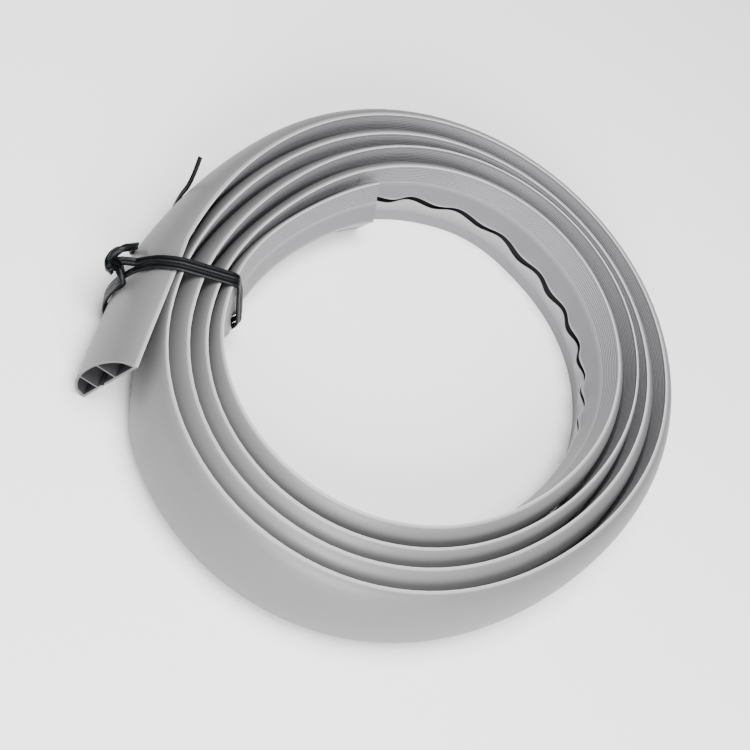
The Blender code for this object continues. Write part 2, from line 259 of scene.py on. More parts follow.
@dataclass(frozen=True)
class CoatedTie:
    """Plastic-coated steel wire tie, extruded: near black and satin, its ridges rubbed a little paler."""

    name: str = "black_plastic_coated_wire"
    body_hex: str = "020203"
    rubbed_hex: str = "1E2124"
    roughness: float = 0.36
    ior: float = 1.50
    gloss: float = 0.12
    crease_mm: float = 2.2
    crease_sheen: float = 0.16

    def material(self) -> bpy.types.Material:
        """Builds the material: fine creases and paler rubbed ridges.

        Returns:
            The finished material.
        """
        # The bent coating gives the eye a black body with thin, broken highlights along its ridges
        material, tree, shader = blank_material(self.name)
        where = add(tree, "ShaderNodeNewGeometry")
        ridge = add(tree, "ShaderNodeAttribute", {"attribute_name": "edge"})
        creases = add(tree, "ShaderNodeTexNoise", {}, {
            "Vector": where.outputs["Position"], "Scale": 1.0 / (self.crease_mm * MM), "Detail": 5.0,
            "Roughness": 0.6})
        rubbed = add(tree, "ShaderNodeMath", {"operation": "MULTIPLY"}, {
            0: ridge.outputs["Fac"], 1: creases.outputs["Fac"]})
        shade = add(tree, "ShaderNodeMix", {"data_type": "RGBA"}, {
            SHARE: rubbed.outputs[0], FIRST: linear(self.body_hex), SECOND: linear(self.rubbed_hex)})
        tree.links.new(shade.outputs[MIXED], shader.inputs["Base Color"])
        sheen = add(tree, "ShaderNodeMath", {"operation": "MULTIPLY_ADD"}, {
            0: creases.outputs["Fac"], 1: self.crease_sheen, 2: self.roughness - 0.5 * self.crease_sheen})
        tree.links.new(sheen.outputs[0], shader.inputs["Roughness"])
        shader.inputs["IOR"].default_value = self.ior
        shader.inputs["Specular IOR Level"].default_value = self.gloss
        relief = add(tree, "ShaderNodeBump", {}, {
            "Strength": 0.35, "Distance": 0.2 * MM, "Height": creases.outputs["Fac"]})
        tree.links.new(relief.outputs["Normal"], shader.inputs["Normal"])
        return material


@dataclass(frozen=True)
class PaintedBoard:
    """White-painted board, rolled: matt and even, with a stipple that only just shows."""

    name: str = "matt_white_painted_board"
    paint_hex: str = "F4F4F4"
    roughness: float = 0.85
    stipple_mm: float = 2.5

    def material(self) -> bpy.types.Material:
        """Builds the floor's material.

        Returns:
            The finished material.
        """
        # Matt paint gives the eye an even white with no highlight
        material, tree, shader = blank_material(self.name)
        where = add(tree, "ShaderNodeNewGeometry")
        stipple = add(tree, "ShaderNodeTexNoise", {}, {
            "Vector": where.outputs["Position"], "Scale": 1.0 / (self.stipple_mm * MM), "Detail": 2.0})
        relief = add(tree, "ShaderNodeBump", {}, {
            "Strength": 0.05, "Distance": 0.1 * MM, "Height": stipple.outputs["Fac"]})
        tree.links.new(relief.outputs["Normal"], shader.inputs["Normal"])
        shader.inputs["Base Color"].default_value = linear(self.paint_hex)
        shader.inputs["Roughness"].default_value = self.roughness
        return material


@dataclass(frozen=True)
class CoilPlan:
    """Plan of the strip: an oval spiral of its upper edge in millimetres, and its straight outer end.

    A lobe holds the cosine and sine share of one wave round the coil, and what both gain in a turn. A swell
    holds the angle of its middle, its reach in degrees and its height.
    """

    middle_angle: float = 900.0
    mean_radius: float = 182.6
    turn_pitch: float = 15.4
    lobes: tuple = (((0.8, 2.2), (0.0, 0.0)), ((-18.6, 6.0), (-1.1, -1.1)), ((1.6, 0.8), (0.2, 1.0)))
    swells: tuple = ((180.0, 95.0, 5.1), (800.0, 85.0, 6.1), (1145.0, 240.0, -2.2), (1280.0, 75.0, 3.4),
                     (1648.0, 36.0, -3.0))
    start: float = 138.0
    tail_from: float = 1640.0
    tail_length: float = 121.5 * MM
    tail_heading: float = -71.9
    tail_blend: float = 10.0
    tail_span: float = 45.0
    tail_spare: float = 8.0 * MM
    heading_step: float = 0.5
    plan_turn: float = -18.1
    centre: tuple[float, float] = (11.475 * MM, -6.358 * MM)

    def radius(self, angle: float) -> float:
        """Gives the radius of the strip's upper edge.

        Args:
            angle: coil angle in degrees, counted on from turn to turn.

        Returns:
            The radius in metres.
        """
        turns = (angle - self.middle_angle) / 360.0
        radius = self.mean_radius + self.turn_pitch * turns
        for count, (shape, growth) in enumerate(self.lobes, start=1):
            a = math.radians(count * angle)
            radius += (shape[0] + growth[0] * turns) * math.cos(a)
            radius += (shape[1] + growth[1] * turns) * math.sin(a)
        for middle, reach, amount in self.swells:
            away = min(1.0, abs(angle - middle) / reach)
            radius += 0.5 * amount * (1.0 + math.cos(math.pi * away))
        return radius * MM

    def ray(self, angle: float) -> Vector:
        """Gives the level direction outwards at a coil angle."""
        a = math.radians(angle + self.plan_turn)
        return Vector((math.cos(a), math.sin(a)))

    def point(self, angle: float) -> Vector:
        """Gives the point of the upper edge in plan, with the coil's middle at zero."""
        return self.ray(angle) * self.radius(angle)

    def tail_direction(self) -> Vector:
        """Gives the level direction of the straight outer end."""
        a = math.radians(self.tail_heading + self.plan_turn)
        return Vector((math.cos(a), math.sin(a)))

    def heading(self, angle: float) -> Vector:
        """Gives the strip's level direction.

        Args:
            angle: coil angle in degrees, along the coiled part.

        Returns:
            A direction of length one that points to growing angles.
        """
        ahead = self.point(angle + self.heading_step)
        heading = (ahead - self.point(angle - self.heading_step)).normalized()
        into_tail = (angle - self.tail_from + self.tail_blend) / self.tail_blend
        if into_tail > 0.0:
            heading = heading.lerp(self.tail_direction(), into_tail).normalized()
        return heading

    def edge_radius(self, angle: float) -> float | None:
        """Gives the upper edge's radius on the coil or the straight end.

        Args:
            angle: coil angle in degrees.

        Returns:
            The radius in metres, or None past the outer end.
        """
        if angle <= self.tail_from:
            return self.radius(angle)
        if angle > self.tail_from + self.tail_span:
            return None
        # The ray at this angle meets the line of the straight end
        start = self.point(self.tail_from)
        way = self.tail_direction()
        ray = self.ray(angle)
        cross = ray.x * way.y - ray.y * way.x
        reach = (ray.y * start.x - ray.x * start.y) / cross
        if reach > self.tail_length + self.tail_spare:
            return None
        return (start.x * way.y - start.y * way.x) / cross


@dataclass(frozen=True)
class Stance:
    """How the strip stands: its leans in degrees where the slit has sprung open, and the tie's lift."""

    end_lean: float = -12.0
    tie_lean: float = -18.0
    lower_lean: float = 24.0
    grows: Pair = (150.0, 205.0)
    closes: Pair = (206.0, 262.0)
    slack_upper: float = -9.5
    slack_lower: float = 14.0
    slack_upper_closes: Pair = (438.0, 462.0)
    slack_lower_closes: Pair = (438.0, 494.0)
    tail_lean: float = 16.5
    tail_from: float = 1600.0
    tail_to: float = 1655.0
    tie_lift: float = 3.2 * MM
    lift_fades: Pair = (3.0, 14.0)

    def leans(self, angle: float) -> tuple[float, float]:
        """Gives the lean of both halves of the section, with the lower edge outwards.

        Args:
            angle: coil angle in degrees.

        Returns:
            Lean of the upper and of the lower half, in radians.
        """
        closed = smooth(angle, *self.closes)
        tail = smooth(angle, self.tail_from, self.tail_to) * self.tail_lean
        upper = self.end_lean + (self.tie_lean - self.end_lean) * smooth(angle, *self.grows)
        upper += (self.slack_upper * (1.0 - smooth(angle, *self.slack_upper_closes)) - upper) * closed
        lower = self.lower_lean
        lower += (self.slack_lower * (1.0 - smooth(angle, *self.slack_lower_closes)) - lower) * closed
        return math.radians(tail + upper), math.radians(tail + lower)

    def lift(self, angle: float) -> float:
        """Gives how far the tie under the strip raises it off the floor."""
        away = abs((angle - TIE_ANGLE + 180.0) % 360.0 - 180.0)
        return self.tie_lift * (1.0 - smooth(away, *self.lift_fades))


@dataclass(frozen=True)
class LipWaves:
    """Waves of the slit's lips on the innermost turn, where bending the strip has stretched them."""

    height: float = 2.3 * MM
    upper_reach: float = 13.0 * MM
    lower_reach: float = 7.0 * MM
    fade_power: float = 1.6
    lower_lag: float = 0.35
    crest: float = 437.8
    period: float = 10.2
    period_growth: float = 3.4
    growth: Pair = (410.0, 450.0)
    phase_step: float = 0.5
    near: RiseAndFall = (372.0, 396.0, 490.0, 504.0)
    near_tie: RiseAndFall = (196.0, 206.0, 244.0, 262.0)
    tie_crest: float = 200.0
    tie_period: float = 8.6
    last: float = 505.0
    gap: float = 1.4 * MM
    open_gap: float = 4.9 * MM
    opens: RiseAndFall = (390.0, 422.0, 490.0, 504.0)
    first_opens: RiseAndFall = (372.0, 384.0, 400.0, 412.0)
    first_share: float = 0.22
    first_lag: float = 1.2

    def share(self, angle: float, span: RiseAndFall) -> float:
        """Gives how far a stretch of waves or gap has come up, from 0 outside it to 1 inside it."""
        return smooth(angle, span[0], span[1]) * (1.0 - smooth(angle, span[2], span[3]))

    def phase(self, angle: float) -> float:
        """Gives the waves' phase, counted from the crest that sets them.

        Args:
            angle: coil angle in degrees.

        Returns:
            The phase in radians.
        """
        steps = max(1, int(abs(angle - self.crest) / self.phase_step))
        stride = (angle - self.crest) / steps
        turns = 0.0
        for k in range(steps):
            middle = self.crest + stride * (k + 0.5)
            turns += stride / (self.period + self.period_growth * smooth(middle, *self.growth))
        return 2.0 * math.pi * turns

    def shift(self, angle: float, half: Half, from_lip: float) -> float:
        """Gives how far a point of a lip stands outwards.

        Args:
            angle: coil angle in degrees.
            half: flap that the point is on.
            from_lip: its distance from the flap's lip in metres.

        Returns:
            The shift in metres, outwards where positive.
        """
        if half is Half.DOME or angle > self.last:
            return 0.0
        reach = self.upper_reach if half is Half.UPPER else self.lower_reach
        fade = max(0.0, 1.0 - from_lip / reach) ** self.fade_power
        if fade == 0.0:
            return 0.0
        lag = 0.0 if half is Half.UPPER else self.lower_lag
        main = self.share(angle, self.near)
        tied = self.share(angle, self.near_tie)
        wave = 0.0
        if main > 0.0:
            wave += main * math.cos(self.phase(angle) - lag)
        if tied > 0.0:
            wave += tied * math.cos(2.0 * math.pi * (angle - self.tie_crest) / self.tie_period)
        return self.height * wave * fade

    def half_gap(self, angle: float) -> float:
        """Gives half of the slit's width, with small openings that come and go where it starts to gape.

        Args:
            angle: coil angle in degrees.

        Returns:
            Half of the width in metres.
        """
        wide = self.share(angle, self.opens)
        first = self.share(angle, self.first_opens)
        if first > 0.0:
            wide = max(wide, first * self.first_share * (1.0 + math.cos(self.phase(angle) - self.first_lag)))
        return 0.5 * (self.gap + (self.open_gap - self.gap) * wide)


@dataclass(frozen=True)
class DuctSection:
    """Section of the strip: flat base inwards, dome outwards, two webs, three channels and a slit.

    Webs, slit, bends and the places of points are shares of the width, counted from the lower tip.
    """

    width: float = 75.0 * MM
    base_wall: float = 2.0 * MM
    dome_wall: float = 2.0 * MM
    web_wall: float = 1.6 * MM
    tip: float = 1.3 * MM
    lower_web: float = 0.30
    upper_web: float = 0.63
    slit: float = 0.40
    inset: float = 0.05
    power: float = 2.2
    rounding: float = 0.6
    probe: float = 0.02
    bend_from: float = 0.34
    bend_to: float = 0.58
    spine: float = 0.50
    groove_pitch: float = 2.0 * MM
    groove_depth: float = 0.45 * MM
    groove_width: float = 1.0 * MM
    groove_count: int = 9
    lower_grooves: int = 6
    lower_strength: float = 0.4
    # Share of painted highlight on the grooves' shoulders
    shoulder_highlight: float = 0.28
    groove_start: float = 3.0 * MM
    rim: float = 0.6 * MM
    lip_wall: float = 0.7 * MM
    lip_bevel: float = 1.6 * MM
    # Roundings of the tips, back corners and lips, and the share of painted highlight that each carries
    tip_corner: float = 0.5 * MM
    tip_shine: float = 1.0
    back_corner: float = 0.45 * MM
    back_shine: float = 0.45
    lip_corner: float = 0.25 * MM
    lip_shine: float = 0.5
    middle_corner: float = 0.9 * MM
    side_corner: float = 0.8 * MM
    end_corner: float = 0.5 * MM
    most_cut: float = 0.45
    back_places: tuple[float, ...] = (0.006, 0.015, 0.028, 0.045, 0.066, 0.09, 0.12, 0.155, 0.195, 0.24,
                                      0.29, 0.34, 0.38, 0.42, 0.46, 0.5)
    middle_roof: tuple[float, ...] = (0.36, 0.42, 0.48, 0.54, 0.58)
    plain_base: tuple[float, ...] = (0.46, 0.52, 0.58, 0.66)
    lower_roof: tuple[float, ...] = (0.23, 0.18, 0.13, 0.09)
    upper_roof: tuple[float, ...] = (0.91, 0.86, 0.80, 0.72)

    def dome(self, x: float, height: float) -> float:
        """Gives the outer height of the dome at a place across the width, as a share of it."""
        shape = max(0.0, 1.0 - abs(2.0 * x - 1.0) ** self.power) ** self.rounding
        return self.tip + (height - self.tip) * shape

    def under_dome(self, x: float, height: float) -> float:
        """Gives the inner height of the dome's wall at a place across the width.

        Args:
            x: the place as a share of the width.
            height: of the dome's crown over the base.

        Returns:
            The height in metres.
        """
        rise = self.dome(x + self.probe, height) - self.dome(x - self.probe, height)
        slope = rise / (2.0 * self.probe * self.width)
        return self.dome(x, height) - self.dome_wall * math.sqrt(1.0 + slope * slope)

    def back(self, height: float) -> list[Mark]:
        """Gives the domed back from the upper tip to the lower tip."""
        shares = [1.0 - p for p in self.back_places] + list(self.back_places[-2::-1])
        return [Mark(x * self.width, self.dome(x, height), Half.DOME, Skin.DOME) for x in shares]

    def roof(self, places: tuple[float, ...], height: float) -> list[Mark]:
        """Gives points on the inner side of the dome's wall at some places across the width."""
        return [Mark(x * self.width, self.under_dome(x, height), Half.DOME) for x in places]

    def grooves(self, middles: list[float], half: Half, strength: float) -> list[Mark]:
        """Gives the fine grooves of the base, with a painted highlight on their shoulders and painted shade in
        them.

        Args:
            middles: places of the grooves across the width, in the outline's order.
            half: flap of the base that they are on.
            strength: how deep they are and how strong their painted highlight and shade are, up to 1.

        Returns:
            Three marks a groove.
        """
        marks = []
        side = 0.5 * self.groove_width
        for place in middles:
            marks.append(Mark(place - side, 0.0, half, Skin.BASE, edge=self.shoulder_highlight * strength))
            marks.append(Mark(place, self.groove_depth * strength, half, Skin.BASE, groove=strength))
            marks.append(Mark(place + side, 0.0, half, Skin.BASE, edge=self.shoulder_highlight * strength))
        return marks

    def outline(self, height: float, half_gap: float) -> list[Mark]:
        """Gives the outline, which takes in the middle channel through the slit.

        Args:
            height: of the dome's crown over the base.
            half_gap: half of the slit's width.

        Returns:
            Marks from the lower tip along the base and back over the dome.
        """
        w = self.width
        low = self.lower_web * w + 0.5 * self.web_wall
        high = self.upper_web * w - 0.5 * self.web_wall
        below, above = self.slit * w - half_gap, self.slit * w + half_gap
        rows = [self.groove_start + self.groove_pitch * k for k in range(self.groove_count)]
        # The tips, back corners and lips carry a painted highlight, which fades out by the rim points
        marks = [Mark(0.0, 0.0, Half.LOWER, Skin.BASE, self.tip_corner, self.tip_shine),
                 Mark(self.rim, 0.0, Half.LOWER, Skin.BASE)]
        marks += self.grooves(rows[:self.lower_grooves], Half.LOWER, self.lower_strength)
        marks += [Mark(below, 0.0, Half.LOWER, Skin.BASE, self.lip_corner, self.lip_shine),
                  Mark(below, self.lip_wall, Half.LOWER),
                  Mark(below - self.lip_bevel, self.base_wall, Half.LOWER),
                  Mark(low, self.base_wall, Half.LOWER, rounding=self.middle_corner),
                  Mark(low, self.under_dome(low / w, height), Half.DOME, rounding=self.middle_corner)]
        marks += self.roof(self.middle_roof, height)
        marks += [Mark(high, self.under_dome(high / w, height), Half.DOME, rounding=self.middle_corner),
                  Mark(high, self.base_wall, Half.UPPER, rounding=self.middle_corner),
                  Mark(above + self.lip_bevel, self.base_wall, Half.UPPER),
                  Mark(above, self.lip_wall, Half.UPPER),
                  Mark(above, 0.0, Half.UPPER, Skin.BASE, self.lip_corner, self.lip_shine)]
        marks += [Mark(x * w, 0.0, Half.UPPER, Skin.BASE) for x in self.plain_base]
        marks += self.grooves([w - row for row in reversed(rows)], Half.UPPER, 1.0)
        marks += [Mark(w - self.rim, 0.0, Half.UPPER, Skin.BASE),
                  Mark(w, 0.0, Half.UPPER, Skin.BASE, self.tip_corner, self.tip_shine),
                  Mark(w, self.tip, Half.DOME, Skin.DOME, self.back_corner, self.back_shine)]
        marks += self.back(height)
        marks.append(Mark(0.0, self.tip, Half.DOME, Skin.DOME, self.back_corner, self.back_shine))
        return marks

    def side_channels(self, height: float) -> list[list[Mark]]:
        """Gives the two closed channels beside the middle one.

        Args:
            height: of the dome's crown over the base.

        Returns:
            The lower and the upper channel.
        """
        w = self.width
        near = self.lower_web * w - 0.5 * self.web_wall
        far = self.upper_web * w + 0.5 * self.web_wall
        lower = [Mark(self.inset * w, self.base_wall, Half.DOME, rounding=self.end_corner),
                 Mark(near, self.base_wall, Half.DOME, rounding=self.side_corner),
                 Mark(near, self.under_dome(near / w, height), Half.DOME, rounding=self.side_corner)]
        lower += self.roof(self.lower_roof, height)
        upper = [Mark((1.0 - self.inset) * w, self.base_wall, Half.DOME, rounding=self.end_corner)]
        upper += self.roof(self.upper_roof, height)
        upper += [Mark(far, self.under_dome(far / w, height), Half.DOME, rounding=self.side_corner),
                  Mark(far, self.base_wall, Half.DOME, rounding=self.side_corner)]
        return [lower, upper]

    def loops(self, height: float, half_gap: float) -> list[list[Mark]]:
        """Gives the outline and the side channels with their corners rounded."""
        return [self.rounded(loop) for loop in [self.outline(height, half_gap)] + self.side_channels(height)]

    def rounded(self, loop: list[Mark]) -> list[Mark]:
        """Replaces each corner that has a rounding by three points on a small curve.

        Args:
            loop: corners and points in order.

        Returns:
            The loop with its corners rounded.
        """
        result = []
        for k, mark in enumerate(loop):
            if mark.rounding == 0.0:
                result.append(mark)
                continue
            here = Vector((mark.across, mark.height))
            ends = []
            for other in (loop[k - 1], loop[(k + 1) % len(loop)]):
                way = Vector((other.across, other.height)) - here
                ends.append(here + way * min(self.most_cut, mark.rounding / max(way.length, TINY)))
            for t in (0.0, 0.5, 1.0):
                p = ends[0] * (1 - t) ** 2 + here * 2 * t * (1 - t) + ends[1] * t * t
                result.append(Mark(p.x, p.y, mark.half, mark.skin, 0.0, mark.edge))
        return result


@dataclass(frozen=True)
class DuctStrip:
    """The coiled strip: its section swept along the plan, with both ends cut through.

    The stations' steps are held as the angle up to which a step counts, and the step in degrees.
    """

    plan: CoilPlan = CoilPlan()
    stance: Stance = Stance()
    waves: LipWaves = LipWaves()
    section: DuctSection = DuctSection()
    finish: SoftPvc = SoftPvc()
    height: float = 16.5 * MM
    tail_height: float = 20.0 * MM
    tail_grows: Pair = (1500.0, 1580.0)
    least_height: float = 6.0 * MM
    clearance: float = 1.0 * MM
    square_share: float = 0.965
    press_steps: tuple[float, ...] = (-12.0, -8.0, -4.0, 0.0, 4.0, 8.0, 12.0)
    halvings: int = 8
    table_step: float = 4.0
    even_passes: int = 2
    bend_steps: int = 12
    station_steps: tuple[Pair, ...] = ((250.0, 2.0), (364.0, 3.8), (506.0, 1.0), (math.inf, 3.5))
    tail_steps: int = 8
    tail_turn: float = 30.0
    inner_skew: float = 14.0
    outer_skew: float = 6.0
    sharp: float = 32.0

    def lay(self, marks: list[Mark], angle: float, height: float) -> list[Vector]:
        """Lays marks out as (outward, up) pairs that hang from the upper tip.

        Args:
            marks: points of the section.
            angle: coil angle, which gives the leans.
            height: of the dome at this place.

        Returns:
            One pair for each mark.
        """
        s = self.section
        upper_lean, lower_lean = self.stance.leans(angle)
        spine_height = s.spine * height
        half_gap = self.waves.half_gap(angle)
        steps = self.bend_steps
        upper_axes, lower_axes = leaning_axes(upper_lean), leaning_axes(lower_lean)
        spine = [upper_axes[1] * spine_height + upper_axes[0] * (s.width * (1.0 - s.bend_to))]
        for k in range(steps):
            lean = upper_lean + (lower_lean - upper_lean) * (k + 0.5) / steps
            spine.append(spine[-1] + leaning_axes(lean)[0] * (s.width * (s.bend_to - s.bend_from) / steps))
        result = []
        for mark in marks:
            x = mark.across / s.width
            if mark.half is Half.UPPER or x >= s.bend_to:
                root, (way, side), origin = spine[0], upper_axes, s.bend_to
            elif mark.half is Half.LOWER or x <= s.bend_from:
                root, (way, side), origin = spine[-1], lower_axes, s.bend_from
            else:
                along = (s.bend_to - x) / (s.bend_to - s.bend_from) * steps
                k = min(int(along), steps - 1)
                root = spine[k].lerp(spine[k + 1], along - k)
                way, side = leaning_axes(upper_lean + (lower_lean - upper_lean) * along / steps)
                origin = x
            from_lip = max(0.0, abs(mark.across - s.slit * s.width) - half_gap)
            wave = self.waves.shift(angle, mark.half, from_lip)
            result.append(root + way * (s.width * (origin - x)) - side * (spine_height - mark.height - wave))
        return result

    def fits(self, angle: float, height: float) -> bool:
        """Tells whether a dome this high stays clear of the next turn outward.

        Args:
            angle: coil angle in degrees.
            height: of the dome.

        Returns:
            True where it stays clear.
        """
        outline = self.lay(self.section.back(height), angle, height)
        low = min(p.y for p in outline)
        for step in self.press_steps:
            outer = self.plan.edge_radius(angle + 360.0 + step)
            if outer is None:
                continue
            # The space is measured along a ray, which crosses the oval a little askew
            gap = (outer - self.plan.edge_radius(angle + step)) * self.square_share - self.clearance
            lean = self.stance.leans(angle + 360.0 + step)[0]
            edge = self.section.width * math.cos(lean) + low
            if any(p.x > gap + (edge - p.y) * math.tan(lean) for p in outline):
                return False
        return True

    def free_height(self, angle: float) -> float:
        """Gives the dome's height: full where it is free, less where the next turn presses on it.

        Args:
            angle: coil angle in degrees.

        Returns:
            The height in metres.
        """
        high = self.height + (self.tail_height - self.height) * smooth(angle, *self.tail_grows)
        if self.fits(angle, high):
            return high
        low = self.least_height
        for _ in range(self.halvings):
            middle = 0.5 * (low + high)
            if self.fits(angle, middle):
                low = middle
            else:
                high = middle
        return low

    def heights(self) -> list[Pair]:
        """Gives the dome's height every few degrees, evened out between neighbours.

        Returns:
            Pairs of coil angle and height.
        """
        count = int((self.plan.tail_from - self.plan.start) / self.table_step) + 2
        angles = [self.plan.start + self.table_step * k for k in range(count)]
        raw = [self.free_height(a) for a in angles]
        for _ in range(self.even_passes):
            raw = [min(raw[k], (raw[max(k - 1, 0)] + raw[k] * 2 + raw[min(k + 1, count - 1)]) / 4)
                   for k in range(count)]
        return list(zip(angles, raw))

    def stations(self) -> list[float]:
        """Gives the coil angles of the swept sections, closer where the strip waves or bends.

        Returns:
            The angles, from the inner end to where the straight end starts.
        """
        places = []
        first = self.plan.start
        for limit, step in self.station_steps:
            last = min(limit, self.plan.tail_from)
            count = math.ceil((last - first) / step)
            places += [first + (last - first) * k / count for k in range(count)]
            first = last
        return places + [first]

    def placed(self, angle: float, point: Vector, heading: Vector, height: float) -> list[list[Vector]]:
        """Stands the section in space at a station.

        Args:
            angle: coil angle.
            point: upper edge in plan.
            heading: level direction of the strip.
            height: of the dome.

        Returns:
            The section's loops of points.
        """
        loops = self.section.loops(height, self.waves.half_gap(angle))
        laid = [self.lay(loop, angle, height) for loop in loops]
        low = min(p.y for loop in laid for p in loop)
        rise = self.stance.lift(angle) - low
        out = Vector((heading.y, -heading.x))
        x, y = point.x + self.plan.centre[0], point.y + self.plan.centre[1]
        return [[Vector((x + out.x * p.x, y + out.y * p.x, p.y + rise)) for p in loop] for loop in laid]

    def sections(self) -> list[list[list[Vector]]]:
        """Gives every swept section, with both ends cut askew.

        Returns:
            Loops of points for each station, from the inner to the outer end.
        """
        plan = self.plan
        table = self.heights()
        result = []
        for angle in self.stations():
            k = min(int((angle - table[0][0]) / self.table_step), len(table) - 2)
            share = smooth(angle, table[k][0], table[k + 1][0])
            height = table[k][1] + (table[k + 1][1] - table[k][1]) * share
            result.append(self.placed(angle, plan.point(angle), plan.heading(angle), height))
        way = plan.tail_direction()
        for k in range(1, self.tail_steps + 1):
            angle = plan.tail_from + self.tail_turn * k / self.tail_steps
            point = plan.point(plan.tail_from) + way * (plan.tail_length * k / self.tail_steps)
            result.append(self.placed(angle, point, way, self.tail_height))
        cuts = ((0, plan.heading(plan.start), self.inner_skew), (-1, way, self.outer_skew))
        for index, heading, skew in cuts:
            slope = heading.to_3d() * math.tan(math.radians(skew))
            top = max(p.z for p in result[index][0])
            result[index] = [[p - slope * (top - p.z) for p in loop] for loop in result[index]]
        return result

    def build(self, sections: list[list[list[Vector]]]) -> bpy.types.Object:
        """Skins the sections into one closed mesh and dresses it.

        Args:
            sections: loops of points for each station.

        Returns:
            The finished piece.
        """
        marks = [m for loop in self.section.loops(self.height, 0.5 * self.waves.gap) for m in loop]
        work = bmesh.new()
        # The edge layer carries the painted highlight, the skin and groove layers the painted shade
        skin = work.verts.layers.float.new("skin")
        edge = work.verts.layers.float.new("edge")
        groove = work.verts.layers.float.new("groove")
        map_layer = work.loops.layers.uv.new("strip")
        rings = [[[work.verts.new(p) for p in loop] for loop in station] for station in sections]
        along = 0.0
        middles = [sum((p for p in station[0]), Vector()) / len(station[0]) for station in sections]
        across_at, along_at = {}, {}
        for k, ring in enumerate(rings):
            along += (middles[k] - middles[k - 1]).length if k else 0.0
            for vert, mark in zip((v for loop in ring for v in loop), marks):
                vert[skin] = mark.skin.value
                vert[edge] = mark.edge
                vert[groove] = mark.groove
                across_at[vert] = mark.across
                along_at[vert] = along
        for here, there in zip(rings, rings[1:]):
            for one, two in zip(here, there):
                for j in range(len(one)):
                    work.faces.new((one[j - 1], one[j], two[j], two[j - 1]))
        for ring, section in ((rings[0], sections[0]), (rings[-1], sections[-1])):
            points = [v for loop in ring for v in loop]
            for corners in tessellate_polygon(section):
                work.faces.new([points[i] for i in corners])
        for face in work.faces:
            for corner in face.loops:
                corner[map_layer].uv = (across_at[corner.vert], along_at[corner.vert])
        mesh = finished_mesh("duct_strip", work, self.sharp, self.finish.material())
        return place_piece("duct_strip", mesh, "cable_duct")


